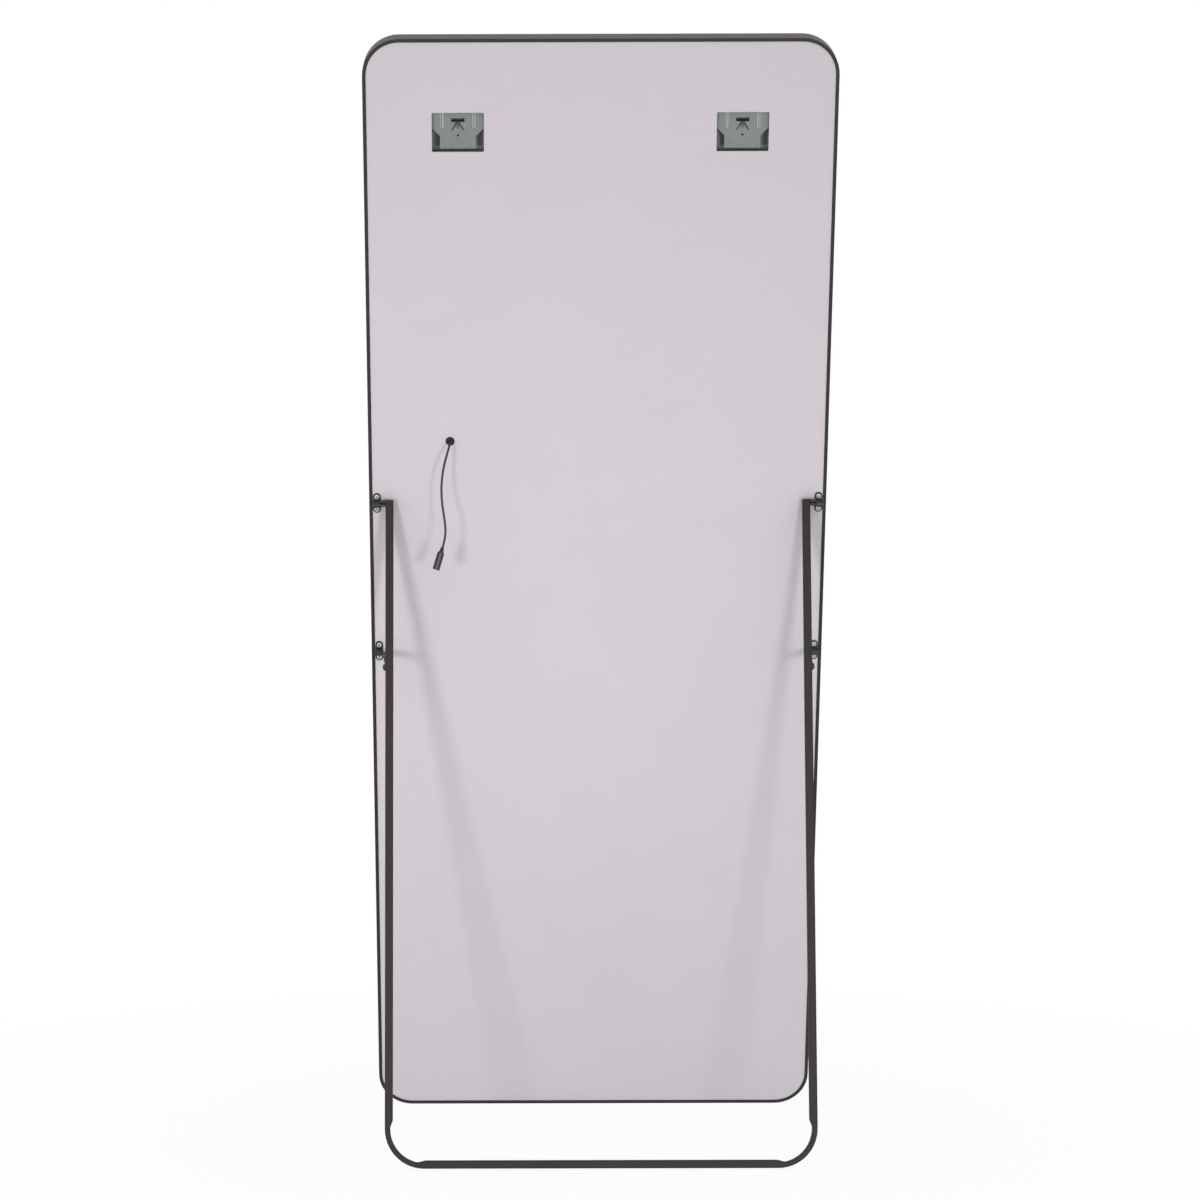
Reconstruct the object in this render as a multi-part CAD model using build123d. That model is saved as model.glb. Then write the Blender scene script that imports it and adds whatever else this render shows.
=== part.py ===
# Full-length floor mirror, seen from its back in use: a bent aluminium frame with the glass in
# front and a sheet panel behind, and a U-shaped tube stand that opens on two hinges and is held
# by a folding stay on each side.
# Units are millimetres and degrees. X runs across the mirror, Y from its front to its back and
# Z up. Right and left are those of a person who looks into the glass, so right is +X.
# Every piece of the mirror is drawn upright, with Y = 0 on the rear rim of the frame and Z = 0
# at the frame's lower edge, and then leaned back. The stand is drawn upright about its hinge.

import os
from math import asin, atan2, cos, degrees, hypot, pi, radians, sin, tan

from build123d import *

# Whole mirror and the way it stands
MIRROR_WIDTH = 710
MIRROR_HEIGHT = 1780
FRAME_DEPTH = 38
CORNER_RADIUS = 55
LEAN = 17.2
LEG_SPLAY = 9.4

# Clearances
RUNNING_FIT = 0.05
SLIP_FIT = 0.15
SEAT_GAP = 0.3
PANEL_GAP = 0.4
GLASS_GAP = 0.5

# Frame profile
WALL = 1.8
BEZEL_FACE = 6
BEZEL_THICK = 1.8
RIM_FACE = 5
RIM_DEEP = 3
FLANGE_REACH = 24
FLANGE_THICK = 1.8
PANEL_SINK = 1.4
OUTER_EDGE_RADIUS = 0.8
SEAM = 0.2

# Sheet and glass
PANEL_THICK = 3
GLASS_THICK = 4

# Splice bar that closes the seam
SPLICE_LENGTH = 120
SPLICE_WIDTH = 12
SPLICE_THICK = 3
SPLICE_SCREW_RADIUS = 2
SPLICE_SCREW_HEAD_RADIUS = 3.6
SPLICE_SCREW_START = 10
SPLICE_SCREW_SPACING = 40

# Light strip and touch dimmer
STRIP_WIDTH = 10
STRIP_THICK = 1
STRIP_FROM_GLASS = 1
STRIP_END_GAP = 24
SWITCH_WIDTH = 46
SWITCH_HEIGHT = 32
SWITCH_THICK = 8
SWITCH_LEVEL = 880
SWITCH_EDGE_RADIUS = 3

# Hanger rail and plates
RAIL_HEIGHT = 30
RAIL_DEPTH = 12
RAIL_SHEET = 2
RAIL_ABOVE_WINDOW = 10
RAIL_END_GAP = 2
WINDOW_WIDTH = 78
WINDOW_HEIGHT = 59.5
WINDOW_INSET = 142
WINDOW_DROP = 140.8
WINDOW_CORNER = 2
PLATE_SHEET = 1.5
PLATE_WIDTH = 96
PLATE_STEP = 4
PLATE_TAIL_WIDTH = 54
PLATE_TAIL_DROP = 25
PLATE_CHAMFER_DROP = 12
PLATE_BOTTOM_GAP = 3.5
PLATE_BEAD_WIDTH = 4.4
PLATE_BEAD_HEIGHT = 1.2
PLATE_BEAD_SPREAD = 48
HOOK_SLOT_WIDTH = 20
HOOK_SLOT_HEIGHT = 5.8
HOOK_SLOT_DROP = 9.6
HOOK_GUIDE_REACH = 13
HOOK_GUIDE_HALF_SPREAD = 9
HOOK_GUIDE_WIDTH = 4.4
HOOK_GUIDE_DEEP = 0.8
PLATE_HOLE_RADIUS = 1.6
PLATE_HOLE_DROP = 36
RIVET_RADIUS = 2
RIVET_HEAD_RADIUS = 3.5
RIVET_HEAD_HEIGHT = 1.4
RIVET_SPACING = 60
RAIL_RIVET_SPACING = 16
RAIL_RIVET_INSET = 14

# Brackets of the hinges and stays
HINGE_LEVEL = 1055
STAY_DROP = 246.5
BRACKET_INSET = 12
BRACKET_WIDTH = 12
BRACKET_LENGTH = 32
BRACKET_BASE = 2
PIN_RISE = 10.5
LUG_WIDTH = 8.4
LUG_RADIUS = 4.5
LUG_ROOT_RADIUS = 1.2
PIN_RADIUS = 2.5
PIN_HEAD_RADIUS = 4.2
PIN_HEAD_HEIGHT = 2.4
SCREW_RADIUS = 2
SCREW_HEAD_RADIUS = 4
SCREW_HEAD_HEIGHT = 2.2
SCREW_SPACING = 20
SCREW_LENGTH = 10

# Stand tube
LEG_TO_LUG = 9.8
TUBE_FACE = 12
TUBE_DEPTH = 16
TUBE_WALL = 1.2
TUBE_EDGE_RADIUS = 2
BEND_RADIUS = 60
BEND_FACE = 8
LEG_TAPER = 14
BAR_TAPER_START = 47
BAR_TAPER_END = 63
TUBE_ABOVE_PIN = 5.5
BOLT_REACH = 10

# Plugs in the tops of the legs
CAP_THICK = 1.5
CAP_PLUG_LENGTH = 25
CAP_GUARD_DEPTH = 8
CAP_GUARD_BELOW = 2.8

# Folding stays
LEG_BOLT_DROP = 252.5
LINK_SHEET = 1.5
LINK_WIDTH = 11
LINK_GAP = 0.2
LINK_JOG_START = 9
LINK_JOG_LENGTH = 12
STAY_PIN_HEAD_RADIUS = 3.6
STAY_PIN_HEAD_HEIGHT = 1.2
LEG_BOLT_HEAD_HEIGHT = 2.2
KNEE_RIVET_RADIUS = 2
KNEE_HEAD_RADIUS = 3.4
KNEE_HEAD_HEIGHT = 1.2
INSERT_RADIUS = 4
INSERT_LENGTH = 9

# Lead, grommet and barrel socket
LEAD_INSET = 126.5
LEAD_LEVEL = 1155
LEAD_DIAMETER = 3.5
GROMMET_NECK_RADIUS = 5.2
GROMMET_FLANGE_RADIUS = 7
GROMMET_FLANGE = 1.2
SOCKET_LENGTH = 28
SOCKET_RADIUS = 5.5
SOCKET_BORE_RADIUS = 2.8
SOCKET_BORE_DEPTH = 9.5
SOCKET_PIN_RADIUS = 1.05
SOCKET_PIN_INSET = 1
RELIEF_LENGTH = 8
RELIEF_START_RADIUS = 2.4
RELIEF_END_RADIUS = 3.6
RELIEF_SHOULDER = 1.2

# Free stretch of the lead, from the grommet's face, with the mirror standing: steps across,
# backwards and up from the point where the lead comes out. It leaves square to the panel,
# bends down under its own weight and hangs in a slight double curve.
LEAD_ROUTE = [
    (0, 0, 0),
    (0, 10.5, -3.4),
    (2.2, 18.5, -11.5),
    (5.8, 22.8, -24),
    (10.3, 24.6, -42),
    (13.0, 24.9, -63),
    (13.2, 24.6, -85),
    (10.7, 24.1, -107),
    (7.2, 23.8, -128),
    (7.2, 23.7, -148),
    (11.6, 23.6, -162.5),
]
LEAD_RUN_SHARE = 0.45

# Levels along Y, worked out from the rear rim towards the glass
PANEL_BACK = -PANEL_SINK
PANEL_FRONT = PANEL_BACK - PANEL_THICK
FLANGE_FRONT = PANEL_FRONT - FLANGE_THICK
BEZEL_BACK = BEZEL_THICK - FRAME_DEPTH
GLASS_BACK = BEZEL_BACK + GLASS_THICK
RAIL_BACK = FLANGE_FRONT - RAIL_SHEET
PLATE_BACK = PANEL_FRONT - SEAT_GAP

# Levels along Z
WINDOW_LEVEL = MIRROR_HEIGHT - WINDOW_DROP
WINDOW_TOP = WINDOW_LEVEL + WINDOW_HEIGHT / 2
WINDOW_BOTTOM = WINDOW_LEVEL - WINDOW_HEIGHT / 2
RAIL_BOTTOM = WINDOW_TOP + RAIL_ABOVE_WINDOW
RAIL_MIDDLE = RAIL_BOTTOM + RAIL_HEIGHT / 2
STAY_LEVEL = HINGE_LEVEL - STAY_DROP

# Places across X on the right side: those on the mirror are set in from its side, and the leg
# lies inside the bracket's lug, with room between them for the stay's two bars
WINDOW_X = MIRROR_WIDTH / 2 - WINDOW_INSET
LEAD_X = MIRROR_WIDTH / 2 - LEAD_INSET
BRACKET_X = MIRROR_WIDTH / 2 - BRACKET_INSET
LUG_INNER = BRACKET_X - LUG_WIDTH / 2
LUG_OUTER = BRACKET_X + LUG_WIDTH / 2
LEG_OUTER = LUG_INNER - LEG_TO_LUG
LEG_INNER = LEG_OUTER - TUBE_FACE
LEG_MIDDLE = LEG_OUTER - TUBE_FACE / 2
LEG_LINK_INNER = LEG_OUTER + LINK_GAP
LEG_LINK_OUTER = LEG_LINK_INNER + LINK_SHEET
KNEE_INNER = LEG_LINK_OUTER + LINK_GAP
KNEE_OUTER = KNEE_INNER + LINK_SHEET
LINK_EYE_OUTER = LUG_INNER - SEAT_GAP
LINK_EYE_INNER = LINK_EYE_OUTER - LINK_SHEET

# Where the stand stands: the mirror rests on the lower edge of its rear rim, and the stand on
# the rounded lower edge of its foot bar
OPEN_ANGLE = LEAN + LEG_SPLAY


def lowest_reach(half_height, half_depth, edge_radius, tilt):
    """How far a tilted section with rounded edges reaches below its centre."""
    upright = (half_height - edge_radius) * cos(radians(tilt))
    sideways = (half_depth - edge_radius) * sin(radians(tilt))
    return upright + sideways + edge_radius


RIM_RISE = lowest_reach(0, 0, OUTER_EDGE_RADIUS, LEAN)
HINGE_Y = HINGE_LEVEL * sin(radians(LEAN)) + PIN_RISE * cos(radians(LEAN))
HINGE_Z = HINGE_LEVEL * cos(radians(LEAN)) - PIN_RISE * sin(radians(LEAN)) + RIM_RISE
FOOT_REACH = lowest_reach(TUBE_FACE / 2, TUBE_DEPTH / 2, TUBE_EDGE_RADIUS, LEG_SPLAY)
LEG_LENGTH = (HINGE_Z - FOOT_REACH) / cos(radians(LEG_SPLAY))

# The stay at rest, seen from the side: a straight line from the frame pin to the leg bolt. Its
# two bars differ by as much as the pin and the bolt lie apart when the stand is folded, so that
# both then lie along the leg.
STAY_OUT = LEG_BOLT_DROP * sin(radians(OPEN_ANGLE))
STAY_UP = STAY_DROP - LEG_BOLT_DROP * cos(radians(OPEN_ANGLE))
STAY_REACH = hypot(STAY_OUT, STAY_UP)
STAY_RISE_ANGLE = degrees(atan2(STAY_UP, STAY_OUT))
LINK_DIFFERENCE = LEG_BOLT_DROP - STAY_DROP
BRACKET_LINK_LENGTH = (STAY_REACH - LINK_DIFFERENCE) / 2
LEG_LINK_LENGTH = (STAY_REACH + LINK_DIFFERENCE) / 2

upright_place = Pos(0, 0, RIM_RISE) * Rot(-LEAN, 0, 0)
stand_place = Pos(0, HINGE_Y, HINGE_Z) * Rot(LEG_SPLAY, 0, 0)


def box(x, y, z):
    """Block between two X values, two Y values and two Z values."""
    size = [max(pair) - min(pair) for pair in (x, y, z)]
    middle = [sum(pair) / 2 for pair in (x, y, z)]
    return Pos(*middle) * Box(*size)


def rod_x(radius, x, y, z):
    """Round bar along X between two X values."""
    return Pos(sum(x) / 2, y, z) * Rot(0, 90, 0) * Cylinder(radius, abs(x[1] - x[0]))


def rod_y(radius, x, y, z):
    """Round bar along Y between two Y values."""
    return Pos(x, sum(y) / 2, z) * Rot(90, 0, 0) * Cylinder(radius, abs(y[1] - y[0]))


def rounded_outline(inset):
    """The frame's outline, drawn in by an inset, as a face seen from the front."""
    width = MIRROR_WIDTH - 2 * inset
    height = MIRROR_HEIGHT - 2 * inset
    face = RectangleRounded(width, height, CORNER_RADIUS - inset)
    return Plane.XZ * Pos(0, MIRROR_HEIGHT / 2) * face


def sheet(inset, back, thick):
    """A flat sheet that fills the frame's outline, with its back at one Y level."""
    return extrude(Pos(0, back, 0) * rounded_outline(inset), thick)


def both_sides(piece):
    """A piece of the right side and its mirror image on the left."""
    return piece, mirror(piece, Plane.YZ)


# Frame profile: its section has a thin bezel over the glass, an outer wall, a thicker rear rim
# and a flange that the panel, the brackets and the hanger rail are fastened to
def section_block(deep, inward):
    """Rectangle of the section, between two Y levels and two distances from the outer face."""
    width = max(deep) - min(deep)
    height = max(inward) - min(inward)
    return Pos(sum(deep) / 2, sum(inward) / 2) * Rectangle(width, height)


def frame_path(end_gap):
    """Line round the outside of the frame that starts and ends beside the seam."""
    side = MIRROR_WIDTH / 2
    corners = [
        (end_gap / 2, 0),
        (side, 0),
        (side, MIRROR_HEIGHT),
        (-side, MIRROR_HEIGHT),
        (-side, 0),
        (-end_gap / 2, 0),
    ]
    radii = [CORNER_RADIUS] * (len(corners) - 2)
    return FilletPolyline(*[(x, 0, z) for x, z in corners], radius=radii)


def along_frame(section, end_gap):
    """Sweep of a section once round the frame."""
    path = frame_path(end_gap)
    start = Plane(origin=(end_gap / 2, 0, 0), x_dir=(0, 1, 0), z_dir=(1, 0, 0))
    return sweep(start * section, path=path)


def frame_profile():
    section = section_block((-FRAME_DEPTH, 0), (0, WALL))
    section += section_block((-FRAME_DEPTH, BEZEL_BACK), (0, BEZEL_FACE))
    section += section_block((-RIM_DEEP, 0), (0, RIM_FACE))
    section += section_block((PANEL_FRONT, FLANGE_FRONT), (0, FLANGE_REACH))
    outer_corners = section.vertices().group_by(Axis.Y)[0]
    section = fillet(outer_corners, OUTER_EDGE_RADIUS)
    frame = along_frame(section, SEAM)
    for x, z in bracket_screw_places():
        frame -= rod_y(SCREW_RADIUS + RUNNING_FIT, x, (PANEL_FRONT + 1, FLANGE_FRONT - 1), z)
    for x, z in rail_rivet_places():
        frame -= rod_y(RIVET_RADIUS + RUNNING_FIT, x, (PANEL_FRONT + 1, FLANGE_FRONT - 1), z)
    for screw in splice_screw_set(RUNNING_FIT):
        frame -= screw
    return frame


# Splice bar inside the frame's lower side, across the seam, and its countersunk screws
def splice_level():
    return FLANGE_FRONT - SEAT_GAP - SPLICE_WIDTH / 2


def splice_screw_set(clearance):
    screws = []
    for side in (-1, 1):
        for step in (0, 1):
            x = side * (SPLICE_SCREW_START + step * SPLICE_SCREW_SPACING)
            place = Pos(x, splice_level(), 0)
            shank = Cylinder(
                SPLICE_SCREW_RADIUS + clearance,
                WALL + SPLICE_THICK + 1,
                align=(Align.CENTER, Align.CENTER, Align.MIN),
            )
            head = Cone(
                SPLICE_SCREW_HEAD_RADIUS + clearance,
                SPLICE_SCREW_RADIUS + clearance,
                WALL,
                align=(Align.CENTER, Align.CENTER, Align.MIN),
            )
            screws.append(place * (shank + head))
    return screws


def frame_splice():
    half = SPLICE_WIDTH / 2
    level = splice_level()
    bar = box(
        (-SPLICE_LENGTH / 2, SPLICE_LENGTH / 2),
        (level - half, level + half),
        (WALL, WALL + SPLICE_THICK),
    )
    for screw in splice_screw_set(RUNNING_FIT):
        bar -= screw
    return bar


# Places of the fasteners that go through the flange
def bracket_screw_places():
    places = []
    for x in (-BRACKET_X, BRACKET_X):
        for level in (HINGE_LEVEL, STAY_LEVEL):
            places += [(x, level + step * SCREW_SPACING / 2) for step in (-1, 1)]
    return places


def rail_rivet_places():
    x = MIRROR_WIDTH / 2 - RAIL_RIVET_INSET
    steps = (-RAIL_RIVET_SPACING / 2, RAIL_RIVET_SPACING / 2)
    return [(side * x, RAIL_MIDDLE + step) for side in (-1, 1) for step in steps]


def plate_rivet_places():
    steps = (-RIVET_SPACING / 2, RIVET_SPACING / 2)
    return [(side * WINDOW_X + step, RAIL_MIDDLE) for side in (-1, 1) for step in steps]


# Back panel with its two hanger windows, the lead hole and the screw holes
def window(x):
    face = RectangleRounded(WINDOW_WIDTH, WINDOW_HEIGHT, WINDOW_CORNER)
    cutter = Pos(x, PANEL_BACK + 1, WINDOW_LEVEL) * (Plane.XZ * face)
    return extrude(cutter, PANEL_THICK + 2)


def back_panel():
    panel = sheet(RIM_FACE + PANEL_GAP, PANEL_BACK, PANEL_THICK)
    for side in (-1, 1):
        panel -= window(side * WINDOW_X)
    through = (PANEL_BACK + 1, PANEL_FRONT - 1)
    panel -= rod_y(GROMMET_NECK_RADIUS + RUNNING_FIT, LEAD_X, through, LEAD_LEVEL)
    for x, z in bracket_screw_places():
        panel -= rod_y(SCREW_RADIUS + SLIP_FIT, x, through, z)
    return panel


# Light strip on the inner face of the frame's wall, beside the glass
def led_strip():
    inner = GLASS_BACK + STRIP_FROM_GLASS
    start = WALL + SEAT_GAP
    section = section_block((inner, inner + STRIP_WIDTH), (start, start + STRIP_THICK))
    return along_frame(section, STRIP_END_GAP)


# Touch dimmer, stuck to the back of the glass
def touch_switch():
    case = box(
        (-SWITCH_WIDTH / 2, SWITCH_WIDTH / 2),
        (GLASS_BACK, GLASS_BACK + SWITCH_THICK),
        (SWITCH_LEVEL - SWITCH_HEIGHT / 2, SWITCH_LEVEL + SWITCH_HEIGHT / 2),
    )
    return fillet(case.edges().filter_by(Axis.Y), SWITCH_EDGE_RADIUS)


# Hanger rail: a channel across the inside, riveted to the flanges at both sides
def hanger_rail():
    half = MIRROR_WIDTH / 2 - WALL - RAIL_END_GAP
    top = RAIL_BOTTOM + RAIL_HEIGHT
    outside = box((-half, half), (FLANGE_FRONT, FLANGE_FRONT - RAIL_DEPTH), (RAIL_BOTTOM, top))
    hollow = box(
        (-half, half),
        (RAIL_BACK, FLANGE_FRONT - RAIL_DEPTH),
        (RAIL_BOTTOM + RAIL_SHEET, top - RAIL_SHEET),
    )
    rail = outside - hollow
    for x, z in rail_rivet_places() + plate_rivet_places():
        rail -= rod_y(RIVET_RADIUS + RUNNING_FIT, x, (FLANGE_FRONT + 1, RAIL_BACK - 1), z)
    return rail


def rail_rivets():
    """Flush rivets with a formed head inside the rail."""
    rivets = []
    for x, z in rail_rivet_places() + plate_rivet_places():
        shank = rod_y(RIVET_RADIUS, x, (PANEL_FRONT - RUNNING_FIT, RAIL_BACK), z)
        head = rod_y(RIVET_HEAD_RADIUS, x, (RAIL_BACK, RAIL_BACK - RIVET_HEAD_HEIGHT), z)
        rim = head.faces().sort_by(Axis.Y)[0].edges()
        rivets.append(shank + fillet(rim, RIVET_HEAD_HEIGHT / 2))
    return rivets


# Hanger plate: pressed from zinc-coated sheet. Its top is riveted to the rail, and a step takes
# the part behind the window deeper, with two stiffening beads, a hook slot over two slanting
# grooves that lead the hook into it, and a narrower tail.
def hanger_plate():
    top = RAIL_BOTTOM + RAIL_HEIGHT
    bottom = WINDOW_BOTTOM + PLATE_BOTTOM_GAP
    deep = PLATE_BACK - PLATE_STEP
    side_view = Polyline(
        (PLATE_BACK, top),
        (PLATE_BACK, RAIL_BOTTOM),
        (deep, RAIL_BOTTOM - PLATE_STEP),
        (deep, bottom),
        (deep - PLATE_SHEET, bottom),
        (deep - PLATE_SHEET, RAIL_BOTTOM - PLATE_STEP - PLATE_SHEET / 2),
        (PLATE_BACK - PLATE_SHEET, RAIL_BOTTOM - PLATE_SHEET / 2),
        (PLATE_BACK - PLATE_SHEET, top),
        close=True,
    )
    bent = extrude(Plane.YZ * make_face(side_view), PLATE_WIDTH / 2, both=True)
    waist = WINDOW_TOP - PLATE_TAIL_DROP
    half = PLATE_WIDTH / 2
    tail = PLATE_TAIL_WIDTH / 2
    front_view = Polyline(
        (-half, top),
        (half, top),
        (half, waist),
        (WINDOW_WIDTH / 2, waist),
        (tail, waist - PLATE_CHAMFER_DROP),
        (tail, bottom),
        (-tail, bottom),
        (-tail, waist - PLATE_CHAMFER_DROP),
        (-WINDOW_WIDTH / 2, waist),
        (-half, waist),
        close=True,
    )
    outline = extrude(Pos(0, 1, 0) * (Plane.XZ * make_face(front_view)), FRAME_DEPTH)
    plate = bent & outline
    for bead_x in (-PLATE_BEAD_SPREAD / 2, PLATE_BEAD_SPREAD / 2):
        bead = bead_solid(deep, waist).moved(Pos(bead_x, 0, 0))
        plate += bead
    for cutter in hook_slot(deep):
        plate -= cutter
    plate -= rod_y(PLATE_HOLE_RADIUS, 0, (deep + 1, deep - PLATE_SHEET - 1), WINDOW_TOP - PLATE_HOLE_DROP)
    plate = Pos(WINDOW_X, 0, 0) * plate
    for rivet_x, z in plate_rivet_places():
        hole = (PLATE_BACK + 1, PLATE_BACK - PLATE_SHEET - 1)
        plate -= rod_y(RIVET_RADIUS + RUNNING_FIT, rivet_x, hole, z)
    return plate


def bead_solid(face, bottom):
    """Stiffening bead with sloping sides, which runs out at the plate's step."""
    half = PLATE_BEAD_WIDTH / 2
    crest = half - PLATE_BEAD_HEIGHT
    section = Polyline(
        (-half, face),
        (-crest, face + PLATE_BEAD_HEIGHT),
        (crest, face + PLATE_BEAD_HEIGHT),
        (half, face),
        close=True,
    )
    top = RAIL_BOTTOM - PLATE_STEP
    return extrude(Pos(0, 0, bottom) * make_face(section), top - bottom)


def hook_slot(face):
    """Wide slot for the hook, and the two slanting grooves that are pressed in below it."""
    top = WINDOW_TOP - HOOK_SLOT_DROP
    low = top - HOOK_SLOT_HEIGHT
    through = (face + 1, face - PLATE_SHEET - 1)
    half = HOOK_SLOT_WIDTH / 2
    cutters = [box((-half, half), through, (low, top))]
    reach = HOOK_GUIDE_HALF_SPREAD
    wide = HOOK_GUIDE_WIDTH / 2
    for side in (-1, 1):
        guide = Polyline(
            (-side * wide / 2, low + 1),
            (side * wide, low + 1),
            (side * (reach + wide / 2), low - HOOK_GUIDE_REACH),
            (side * (reach - wide / 2), low - HOOK_GUIDE_REACH),
            close=True,
        )
        face_xz = Plane.XZ * make_face(guide)
        cutters.append(extrude(Pos(0, face + 1, 0) * face_xz, HOOK_GUIDE_DEEP + 1))
    return cutters


# Cast bracket: a base with round ends and a lug with a round tip, drawn with its pin at the
# origin. The same casting carries the stand's hinge and, lower down, the stay.
def bracket_casting():
    base_back = PANEL_BACK + BRACKET_BASE - PIN_RISE
    base = SlotOverall(BRACKET_LENGTH, BRACKET_WIDTH, rotation=90)
    base = extrude(Pos(0, base_back, 0) * (Plane.XZ * base), BRACKET_BASE)
    for side in (-1, 1):
        z = side * SCREW_SPACING / 2
        base -= rod_y(SCREW_RADIUS + SLIP_FIT, 0, (base_back + 1, base_back - BRACKET_BASE - 1), z)
    half = LUG_WIDTH / 2
    lug = box((-half, half), (base_back, 0), (-LUG_RADIUS, LUG_RADIUS))
    lug += rod_x(LUG_RADIUS, (-half, half), 0, 0)
    casting = base + lug
    root = [
        edge
        for edge in casting.edges().filter_by(GeomType.LINE)
        if abs(edge.center().Y - base_back) < RUNNING_FIT
        and abs(edge.center().Z) < LUG_RADIUS + RUNNING_FIT
        and abs(edge.center().X) < half + RUNNING_FIT
    ]
    casting = fillet(root, LUG_ROOT_RADIUS)
    return casting - rod_x(PIN_RADIUS + RUNNING_FIT, (-half - 1, half + 1), 0, 0)


def bracket(level):
    return Pos(BRACKET_X, PIN_RISE, level) * bracket_casting()


def screw_head(radius, height):
    """Pan head that stands on Z = 0, rounded at its top edge."""
    head = Cylinder(radius, height, align=(Align.CENTER, Align.CENTER, Align.MIN))
    return fillet(head.edges().sort_by(Axis.Z)[-1], height * 2 / 3)


def bracket_screws():
    head = screw_head(SCREW_HEAD_RADIUS, SCREW_HEAD_HEIGHT)
    shank = Cylinder(SCREW_RADIUS, SCREW_LENGTH, align=(Align.CENTER, Align.CENTER, Align.MAX))
    screw = Rot(-90, 0, 0) * (head + shank)
    seat = PANEL_BACK + BRACKET_BASE
    return [Pos(x, seat, z) * screw for x, z in bracket_screw_places()]


def hinge_bolt():
    """Pivot bolt of the stand: head outside the lug, bare shank to the leg, end in its plug."""
    shank = rod_x(PIN_RADIUS, (LUG_OUTER, LEG_OUTER - BOLT_REACH), PIN_RISE, HINGE_LEVEL)
    head = Rot(0, 90, 0) * screw_head(PIN_HEAD_RADIUS, PIN_HEAD_HEIGHT)
    return shank + Pos(LUG_OUTER, PIN_RISE, HINGE_LEVEL) * head


def stay_pin():
    """Pivot pin of the stay: through the lug and the eye of the first bar, riveted over."""
    shank = rod_x(PIN_RADIUS, (LUG_OUTER, LINK_EYE_INNER), PIN_RISE, STAY_LEVEL)
    head = Rot(0, 90, 0) * screw_head(PIN_HEAD_RADIUS, PIN_HEAD_HEIGHT)
    tail = Rot(0, -90, 0) * screw_head(STAY_PIN_HEAD_RADIUS, STAY_PIN_HEAD_HEIGHT)
    pin = shank + Pos(LUG_OUTER, PIN_RISE, STAY_LEVEL) * head
    return pin + Pos(LINK_EYE_INNER - RUNNING_FIT, PIN_RISE, STAY_LEVEL) * tail + rod_x(
        PIN_RADIUS, (LINK_EYE_INNER, LINK_EYE_INNER - RUNNING_FIT), PIN_RISE, STAY_LEVEL
    )


# Stand tube: one flat-sided tube bent to a U. The bending tool presses the inner wall of each
# bend in, so the tube tapers from its full face to a thinner one and back.
def half_u_outline(inset):
    """Right half of the U as a closed outline, drawn in from the tube's faces by an inset."""
    outer = LEG_OUTER - inset
    inner = LEG_INNER + inset
    foot = -LEG_LENGTH - TUBE_FACE / 2 + inset
    foot_top = -LEG_LENGTH + TUBE_FACE / 2 - inset
    bend_x = LEG_OUTER - BEND_RADIUS
    bend_z = -LEG_LENGTH - TUBE_FACE / 2 + BEND_RADIUS
    pinched = BEND_RADIUS - BEND_FACE + inset
    leave = degrees(asin((BEND_RADIUS - BAR_TAPER_START) / pinched))
    outside = FilletPolyline(
        (0, foot), (outer, foot), (outer, TUBE_ABOVE_PIN), radius=BEND_RADIUS - inset
    )
    arc = CenterArc((bend_x, bend_z), pinched, 0, leave - 90)
    leg_taper = Spline(
        (inner, bend_z + LEG_TAPER), arc @ 0, tangents=((0, -1), (0, -1)), tangent_scalars=(1, 1)
    )
    bar_taper = Spline(
        arc @ 1, (LEG_OUTER - BAR_TAPER_END, foot_top), tangents=(arc % 1, (-1, 0)), tangent_scalars=(1, 1)
    )
    ends = [
        Line((outer, TUBE_ABOVE_PIN), (inner, TUBE_ABOVE_PIN)),
        Line((inner, TUBE_ABOVE_PIN), leg_taper @ 0),
        Line(bar_taper @ 1, (0, foot_top)),
        Line((0, foot_top), (0, foot)),
    ]
    return make_face(Wire([*outside.edges(), *ends, *leg_taper.edges(), *arc.edges(), *bar_taper.edges()]))


def stand_tube():
    half = Plane.XZ * half_u_outline(0)
    solid = extrude(half, TUBE_DEPTH / 2, both=True)
    long_edges = [
        edge
        for edge in solid.edges()
        if abs(abs(edge.center().Y) - TUBE_DEPTH / 2) < RUNNING_FIT
        and abs(edge.center().X) > RUNNING_FIT
        and abs(edge.center().Z - TUBE_ABOVE_PIN) > RUNNING_FIT
    ]
    solid = fillet(long_edges, TUBE_EDGE_RADIUS)
    solid -= extrude(Plane.XZ * half_u_outline(TUBE_WALL), TUBE_DEPTH / 2 - TUBE_WALL, both=True)
    wall_hole = (LEG_OUTER + 1, LEG_OUTER - TUBE_WALL - 1)
    for drop in (0, LEG_BOLT_DROP):
        solid -= rod_x(PIN_RADIUS + RUNNING_FIT, wall_hole, 0, -drop)
    return solid + mirror(solid, Plane.YZ)


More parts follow.
